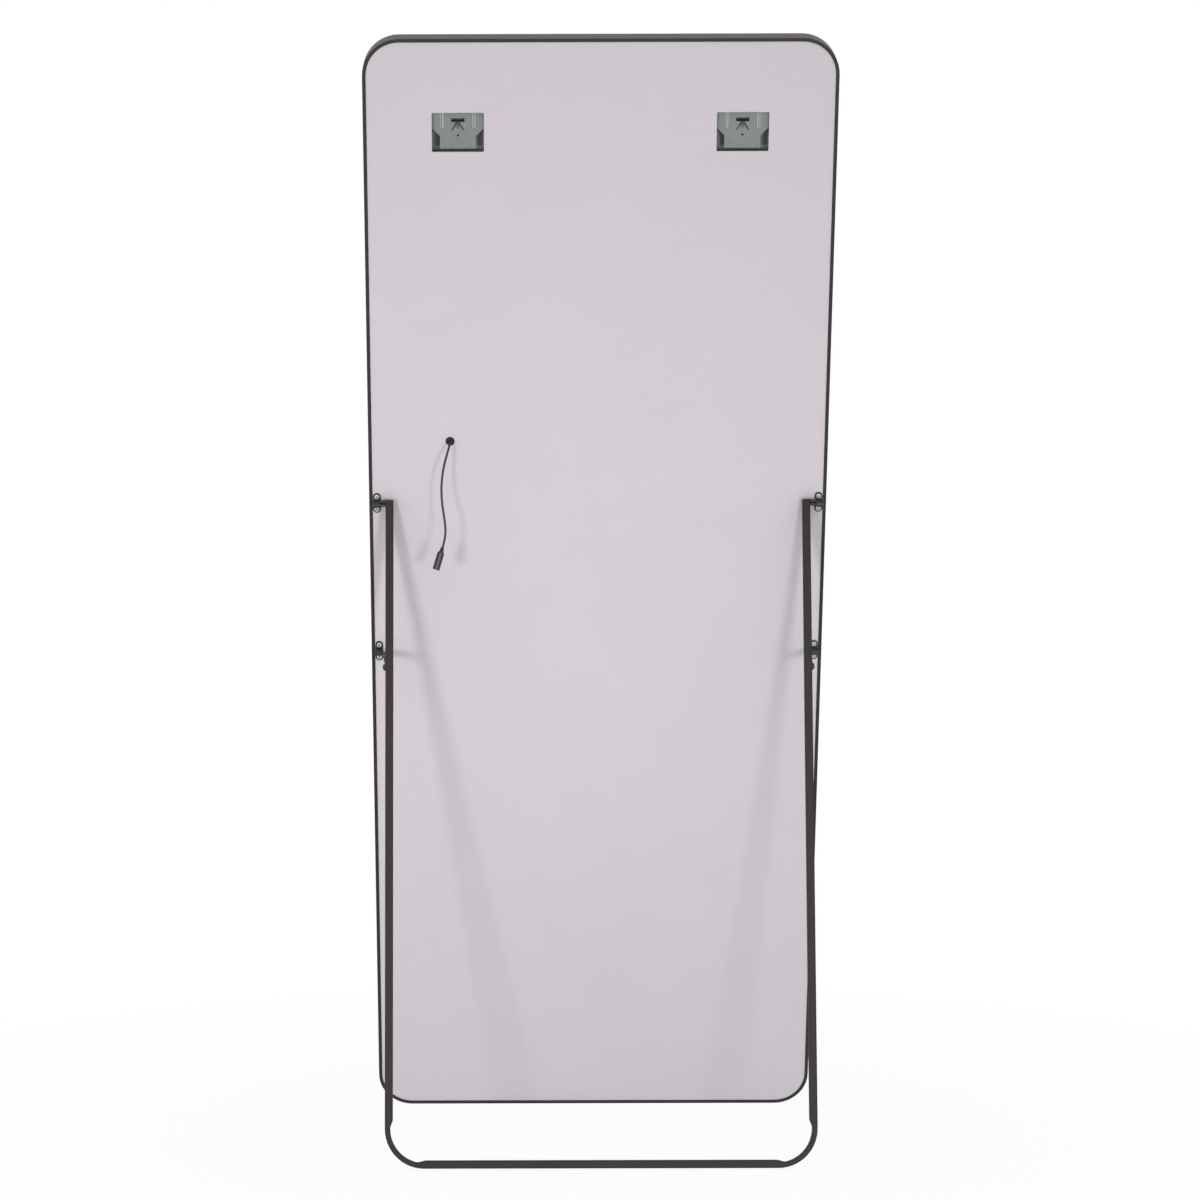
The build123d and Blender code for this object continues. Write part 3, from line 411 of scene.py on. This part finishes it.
# Where there is no silver, the glass is neither metallic nor smooth.
glass_shader = glass_tree.nodes["Principled BSDF"].inputs
unsilvered = add_node(
    glass_tree, "ShaderNodeMath", {0: painted, 1: frosted}, operation="MAXIMUM"
).outputs[0]
silver = add_node(glass_tree, "ShaderNodeMath", {0: 1.0, 1: unsilvered}, operation="SUBTRACT")
dulled = add_node(
    glass_tree,
    "ShaderNodeMath",
    {0: unsilvered, 1: UNSILVERED_ROUGHNESS, 2: glass_shader["Roughness"].links[0].from_socket},
    operation="MULTIPLY_ADD",
)
glass_tree.links.new(silver.outputs[0], glass_shader["Metallic"])
glass_tree.links.new(dulled.outputs[0], glass_shader["Roughness"])
finish_nodes(silvered, "mirror_glass")

# Back panel: one rigid PVC sheet that lies on the frame's flange, inside its rim. It is a pale
# lilac grey, smooth with a faint haze of calender marks.
sheet_pvc = new_finish(
    "rigid PVC sheet",
    dark="#D7D0D7",
    light="#D9D2D9",
    roughness=(0.52, 0.58),
    grain=0.09,
    depth=0.00001,
    ior=1.5,
)
finish_nodes(sheet_pvc, "back_panel")

# Light strip: a flexible board that runs round the inside of the frame, under a cover of milky
# silicone, soft and slightly yellow.
silicone = new_finish(
    "milky silicone",
    dark="#EBE7D8",
    light="#F5F3EA",
    roughness=(0.35, 0.5),
    grain=0.006,
    depth=0.00003,
    ior=1.42,
)
finish_nodes(silicone, "led_strip")

# Touch dimmer: a small case of moulded white ABS stuck to the back of the glass, with the fine
# grain of its mould.
abs_case = new_finish(
    "moulded white ABS",
    dark="#E1E0DB",
    light="#EAE9E5",
    roughness=(0.4, 0.52),
    grain=0.0012,
    depth=0.00004,
    ior=1.54,
)
finish_nodes(abs_case, "touch_switch")

# Hanger rail: a channel rolled from zinc-coated steel sheet and riveted across the inside, a dull
# grey with the soft spangle of the coating.
zinc = new_finish(
    "zinc-coated steel sheet",
    dark="#858B87",
    light="#969C98",
    roughness=(0.44, 0.56),
    grain=0.007,
    depth=0.00002,
    metallic=0.3,
)
finish_nodes(zinc, "hanger_rail")

# Hanger plates: pressed from the same sheet, greener and duller. A painted highlight lightens the
# flanks of the two beads, where the lamps glint, more on the side that faces away from the lead.
# Painted shade darkens the two grooves below the slot and the spot where they meet.
PLATE_SIDE = 0.213
GROOVE_LEVEL = -0.0095
GROOVE_REACH = 0.0003
# Painted highlight on the bead flanks: its weight on the flanks facing the lead, and its span.
HIGHLIGHT_TOWARDS_LEAD = 0.55
HIGHLIGHT_SPAN = (0.12, 0.5)
PAINTED_HIGHLIGHT_COLOUR = "#E6ECE8"
# Painted shade in the grooves and in a soft oval where they meet: its place, size, core, strength
# and colour.
GROOVE_SHADE_LEVEL = 1.6497
GROOVE_SHADE_SIZE = (0.0058, 0.0085)
GROOVE_SHADE_CORE = 0.2
GROOVE_SHADE_STRENGTH = 0.8
PAINTED_SHADE_COLOUR = "#3C413E"

pressed = new_finish(
    "pressed zinc-coated steel",
    dark="#7B8380",
    light="#858D89",
    roughness=(0.44, 0.56),
    grain=0.009,
    depth=0.00002,
    metallic=0.25,
)
plate_tree = pressed.node_tree

# The flanks are the faces that look sideways.
facing = add_node(plate_tree, "ShaderNodeTexCoord", {}).outputs["Normal"]
facing_side = add_node(plate_tree, "ShaderNodeSeparateXYZ", {"Vector": facing}).outputs["X"]
# Painted highlight: a share that grows as a face turns sideways, full on faces that look away from
# the lead and weaker on those that look towards it.
flanks = []
for highlight_weight in (-1.0, HIGHLIGHT_TOWARDS_LEAD):
    flank = add_node(plate_tree, "ShaderNodeMath", {0: facing_side, 1: highlight_weight}, operation="MULTIPLY")
    flanks.append(flank.outputs[0])
flank_highlight = add_node(plate_tree, "ShaderNodeMath", {0: flanks[0], 1: flanks[1]}, operation="MAXIMUM")
painted_highlight = add_node(
    plate_tree,
    "ShaderNodeMapRange",
    {"Value": flank_highlight.outputs[0], "From Min": HIGHLIGHT_SPAN[0], "From Max": HIGHLIGHT_SPAN[1]},
)

# The grooves are found by their depth, and the painted shade where they meet is a soft oval.
in_groove = add_node(
    plate_tree,
    "ShaderNodeMath",
    {0: across_panel(plate_tree, PANEL_OUT), 1: GROOVE_LEVEL, 2: GROOVE_REACH},
    operation="COMPARE",
)
sideways = add_node(
    plate_tree, "ShaderNodeMath", {0: across_panel(plate_tree, PANEL_SIDE)}, operation="ABSOLUTE"
)
neck_shade_place = []
for distance, centre, size in (
    (sideways.outputs[0], PLATE_SIDE, GROOVE_SHADE_SIZE[0]),
    (across_panel(plate_tree, PANEL_UP), GROOVE_SHADE_LEVEL, GROOVE_SHADE_SIZE[1]),
):
    away = add_node(plate_tree, "ShaderNodeMath", {0: distance, 1: centre}, operation="SUBTRACT")
    share = add_node(
        plate_tree, "ShaderNodeMath", {0: away.outputs[0], 1: size}, operation="DIVIDE"
    )
    neck_shade_place.append(share.outputs[0])
neck_shade_offset = add_node(
    plate_tree, "ShaderNodeCombineXYZ", {"X": neck_shade_place[0], "Y": neck_shade_place[1]}
)
neck_shade_reach = add_node(
    plate_tree, "ShaderNodeVectorMath", {0: neck_shade_offset.outputs[0]}, operation="LENGTH"
)
neck_shade = add_node(
    plate_tree,
    "ShaderNodeMapRange",
    {
        "Value": neck_shade_reach.outputs["Value"],
        "From Min": 1.0,
        "From Max": GROOVE_SHADE_CORE,
        "To Max": GROOVE_SHADE_STRENGTH,
    },
)
painted_groove_shade = add_node(
    plate_tree,
    "ShaderNodeMath",
    {0: in_groove.outputs[0], 1: neck_shade.outputs["Result"]},
    operation="MAXIMUM",
)
# The painted highlight goes on the bead flanks, then the painted shade in the grooves.
lay_over(
    plate_tree, (painted_highlight.outputs["Result"], PAINTED_HIGHLIGHT_COLOUR), (painted_groove_shade.outputs[0], PAINTED_SHADE_COLOUR)
)
finish_nodes(pressed, "hanger_plate_right", "hanger_plate_left")

# Brackets and stays: zinc castings and cut steel bars on bolts and rivets, all under a black
# electrocoat, an even satin film with a faint brown mottle.
BLACK_PAIRS = (
    "hinge_bracket",
    "stay_bracket",
    "bracket_link",
    "leg_link",
    "knee_rivet",
    "knee_tail",
)

coated = new_finish(
    "black electrocoat on steel",
    dark="#161515",
    light="#22201E",
    roughness=(0.34, 0.48),
    grain=0.0022,
    depth=0.00003,
    ior=1.55,
)
for part in BLACK_PAIRS:
    finish_nodes(coated, part + "_right", part + "_left")
finish_nodes(coated, "hinge_bolts", "stay_pins", "leg_bolts")

# Splice screws: cold-headed steel, zinc plated to a dull grey with a fine grain. Four of them
# clamp the splice bar inside the frame.
plated = new_finish(
    "dull zinc plate",
    dark="#B3B6B8",
    light="#C5C8CA",
    roughness=(0.37, 0.48),
    grain=0.0008,
    depth=0.00002,
    metallic=0.6,
)
finish_nodes(plated, "splice_screws")

# Bracket screws: eight pan heads with a cross recess, zinc plated, each stopped at its own turn.
# The recess is punched cold, so it has sharp rims and a flat floor.
SCREW_SIDE = 0.343
SCREW_SEAT = 0.0006
SCREW_LEVELS = (0.7985, 0.8185, 1.045, 1.065)
SCREW_SIZES = {
    "Head Radius": 0.004,
    "Head Height": 0.0022,
    "Recess Length": 0.0044,
    "Recess Width": 0.0011,
    "Recess Depth": 0.0014,
    "Shank Radius": 0.002,
    "Shank Length": 0.01,
}
SCREW_SEED = 7
HEAD_FULLNESS = 4.0
HEAD_RISE = 0.93
HEAD_SIDES = 36
HEAD_RINGS = 8
SHANK_SIDES = 24
QUARTER_TURN = math.pi / 2
SHARP_EDGE = math.radians(32)

screw_tree = bpy.data.node_groups.new("pan head screws", "GeometryNodeTree")
screw_sockets = {
    "Places": "NodeSocketGeometry",
    **dict.fromkeys(SCREW_SIZES, "NodeSocketFloat"),
    "Seed": "NodeSocketInt",
    "Finish": "NodeSocketMaterial",
}
for label, socket_type in screw_sockets.items():
    screw_tree.interface.new_socket(label, in_out="INPUT", socket_type=socket_type)
screw_tree.interface.new_socket("Screws", in_out="OUTPUT", socket_type="NodeSocketGeometry")
given = screw_tree.nodes.new("NodeGroupInput").outputs

# Head: a short round bar, drawn in towards the top and lifted onto its seat. The share of its
# width left at each height is (1 - rise ** fullness) ** (1 / fullness).
blank = add_node(
    screw_tree,
    "GeometryNodeMeshCylinder",
    {
        "Vertices": HEAD_SIDES,
        "Side Segments": HEAD_RINGS,
        "Radius": given["Head Radius"],
        "Depth": given["Head Height"],
    },
)
spot = add_node(screw_tree, "GeometryNodeInputPosition", {}).outputs[0]
curve = add_node(screw_tree, "ShaderNodeSeparateXYZ", {"Vector": spot}).outputs["Z"]
for operation, *factors in (
    ("DIVIDE", given["Head Height"]),
    ("MULTIPLY_ADD", HEAD_RISE, HEAD_RISE / 2),
    ("POWER", HEAD_FULLNESS),
    ("MULTIPLY_ADD", -1.0, 1.0),
    ("POWER", 1 / HEAD_FULLNESS),
):
    terms = dict(enumerate([curve, *factors]))
    curve = add_node(screw_tree, "ShaderNodeMath", terms, operation=operation).outputs[0]
narrowed = add_node(screw_tree, "ShaderNodeCombineXYZ", {"X": curve, "Y": curve, "Z": 1.0})
half_head = add_node(
    screw_tree, "ShaderNodeMath", {0: given["Head Height"], 1: 0.5}, operation="MULTIPLY"
)
lifted = add_node(screw_tree, "ShaderNodeCombineXYZ", {"Z": half_head.outputs[0]})
domed_place = add_node(
    screw_tree,
    "ShaderNodeVectorMath",
    {0: spot, 1: narrowed.outputs[0], 2: lifted.outputs[0]},
    operation="MULTIPLY_ADD",
)
domed = add_node(
    screw_tree,
    "GeometryNodeSetPosition",
    {"Geometry": blank.outputs["Mesh"], "Position": domed_place.outputs[0]},
)

# Recess: two crossed punches, cut out of the top of the head.
punch_height = add_node(
    screw_tree, "ShaderNodeMath", {0: given["Recess Depth"], 1: 2.0}, operation="MULTIPLY"
)
head_top = add_node(screw_tree, "ShaderNodeCombineXYZ", {"Z": given["Head Height"]})
punches = []
for along, across in (("Recess Length", "Recess Width"), ("Recess Width", "Recess Length")):
    punch_size = add_node(
        screw_tree,
        "ShaderNodeCombineXYZ",
        {"X": given[along], "Y": given[across], "Z": punch_height.outputs[0]},
    )
    punch = add_node(screw_tree, "GeometryNodeMeshCube", {"Size": punch_size.outputs[0]})
    raised = add_node(
        screw_tree,
        "GeometryNodeTransform",
        {"Geometry": punch.outputs["Mesh"], "Translation": head_top.outputs[0]},
    )
    punches.append(raised.outputs[0])
head = add_node(
    screw_tree,
    "GeometryNodeMeshBoolean",
    {"Mesh 1": domed.outputs[0], "Mesh 2": punches},
    operation="DIFFERENCE",
)

# Shank: a plain bar below the head.
shank = add_node(
    screw_tree,
    "GeometryNodeMeshCylinder",
    {"Vertices": SHANK_SIDES, "Radius": given["Shank Radius"], "Depth": given["Shank Length"]},
)
shank_drop = add_node(
    screw_tree, "ShaderNodeMath", {0: given["Shank Length"], 1: -0.5}, operation="MULTIPLY"
)
sunk = add_node(screw_tree, "ShaderNodeCombineXYZ", {"Z": shank_drop.outputs[0]})
sunk_shank = add_node(
    screw_tree,
    "GeometryNodeTransform",
    {"Geometry": shank.outputs["Mesh"], "Translation": sunk.outputs[0]},
)
screw = add_node(
    screw_tree, "GeometryNodeJoinGeometry", {0: [head.outputs[0], sunk_shank.outputs[0]]}
)

# Setting: one screw on each place, square to the panel and at its own turn. Sockets 2 and 3 of a
# random number are its limits.
outward = add_node(
    screw_tree, "FunctionNodeAlignRotationToVector", {"Vector": PANEL_OUT}, axis="Z"
)
set_screws = add_node(
    screw_tree,
    "GeometryNodeInstanceOnPoints",
    {"Points": given["Places"], "Instance": screw.outputs[0], "Rotation": outward.outputs[0]},
)
turn = add_node(
    screw_tree,
    "FunctionNodeRandomValue",
    {2: 0.0, 3: QUARTER_TURN, "Seed": given["Seed"]},
    data_type="FLOAT",
)
turn_about = add_node(screw_tree, "ShaderNodeCombineXYZ", {"Z": turn.outputs[1]})
turned = add_node(
    screw_tree,
    "GeometryNodeRotateInstances",
    {"Instances": set_screws.outputs[0], "Rotation": turn_about.outputs[0]},
)
solid_screws = add_node(screw_tree, "GeometryNodeRealizeInstances", {0: turned.outputs[0]})
finished = add_node(
    screw_tree,
    "GeometryNodeSetMaterial",
    {"Geometry": solid_screws.outputs[0], "Material": given["Finish"]},
)
add_node(screw_tree, "NodeGroupOutput", {0: finished.outputs[0]})


def grown(name, places, tree, values):
    """Plain mesh object that a tree makes on a list of places, with its inputs set by name."""
    points = bpy.data.meshes.new(name + " places")
    points.from_pydata([tuple(place) for place in places], [], [])
    piece = bpy.data.objects.new(name, points)
    bpy.context.scene.collection.objects.link(piece)
    modifier = piece.modifiers.new(name, "NODES")
    modifier.node_group = tree
    for item in tree.interface.items_tree:
        if item.in_out == "INPUT" and item.name in values:
            modifier[item.identifier] = values[item.name]
    depsgraph = bpy.context.evaluated_depsgraph_get()
    mesh = bpy.data.meshes.new_from_object(piece.evaluated_get(depsgraph))
    piece.modifiers.clear()
    piece.data = mesh
    mesh.polygons.foreach_set("use_smooth", [True] * len(mesh.polygons))
    mesh.set_sharp_from_angle(angle=SHARP_EDGE)
    return piece


screw_seat = Vector(PANEL_FOOT) + SCREW_SEAT * Vector(PANEL_OUT)
screw_places = [
    screw_seat + side * Vector(PANEL_SIDE) + level * Vector(PANEL_UP)
    for side in (-SCREW_SIDE, SCREW_SIDE)
    for level in SCREW_LEVELS
]
screw_values = {**SCREW_SIZES, "Seed": SCREW_SEED, "Finish": plated}
cross_screws = grown("cross_recess_screws", screw_places, screw_tree, screw_values)
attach(cross_screws, "mirror")
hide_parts("bracket_screws")

# Stand: one steel tube, bent into a U and pressed thinner in its bends, under a powder coat of
# warm satin black with a fine orange peel.
powder = new_finish(
    "black powder coat on steel tube",
    dark="#1B1614",
    light="#231E1B",
    roughness=(0.47, 0.58),
    grain=0.0018,
    depth=0.00006,
    ior=1.4,
)
finish_nodes(powder, "stand_tube")

# Leg caps: plugs of moulded black nylon pushed into the open tops of the tube, with the matt
# grain of their mould.
moulded = new_finish(
    "moulded black nylon",
    dark="#1A1918",
    light="#242321",
    roughness=(0.5, 0.62),
    grain=0.0012,
    depth=0.00005,
    ior=1.53,
)
finish_nodes(moulded, "leg_cap_right", "leg_cap_left")

# Leg inserts and the socket's contact: turned from brass bar, a warm yellow with a fine satin.
# The inserts are set in the legs for the leg bolts, and the contact sits in the socket's shell.
brass = new_finish(
    "turned brass",
    dark="#BB9850",
    light="#D0AE66",
    roughness=(0.24, 0.36),
    grain=0.001,
    depth=0.00002,
    metallic=1.0,
)
finish_nodes(brass, "leg_inserts", "socket_pin")

# Grommet: a soft ring of moulded black rubber, snapped into the lead hole, quite matt with a
# fine dusty grain.
rubber = new_finish(
    "black rubber",
    dark="#161616",
    light="#212121",
    roughness=(0.62, 0.78),
    grain=0.0009,
    depth=0.00005,
    ior=1.5,
)
finish_nodes(rubber, "lead_grommet")

# Socket shell: glossy black PVC moulded over the end of the lead and its contact, smooth with
# only a slight waviness.
shell = new_finish(
    "glossy moulded PVC",
    dark="#131313",
    light="#1B1B1B",
    roughness=(0.22, 0.34),
    grain=0.0015,
    depth=0.00003,
    ior=1.53,
)
finish_nodes(shell, "socket_body")
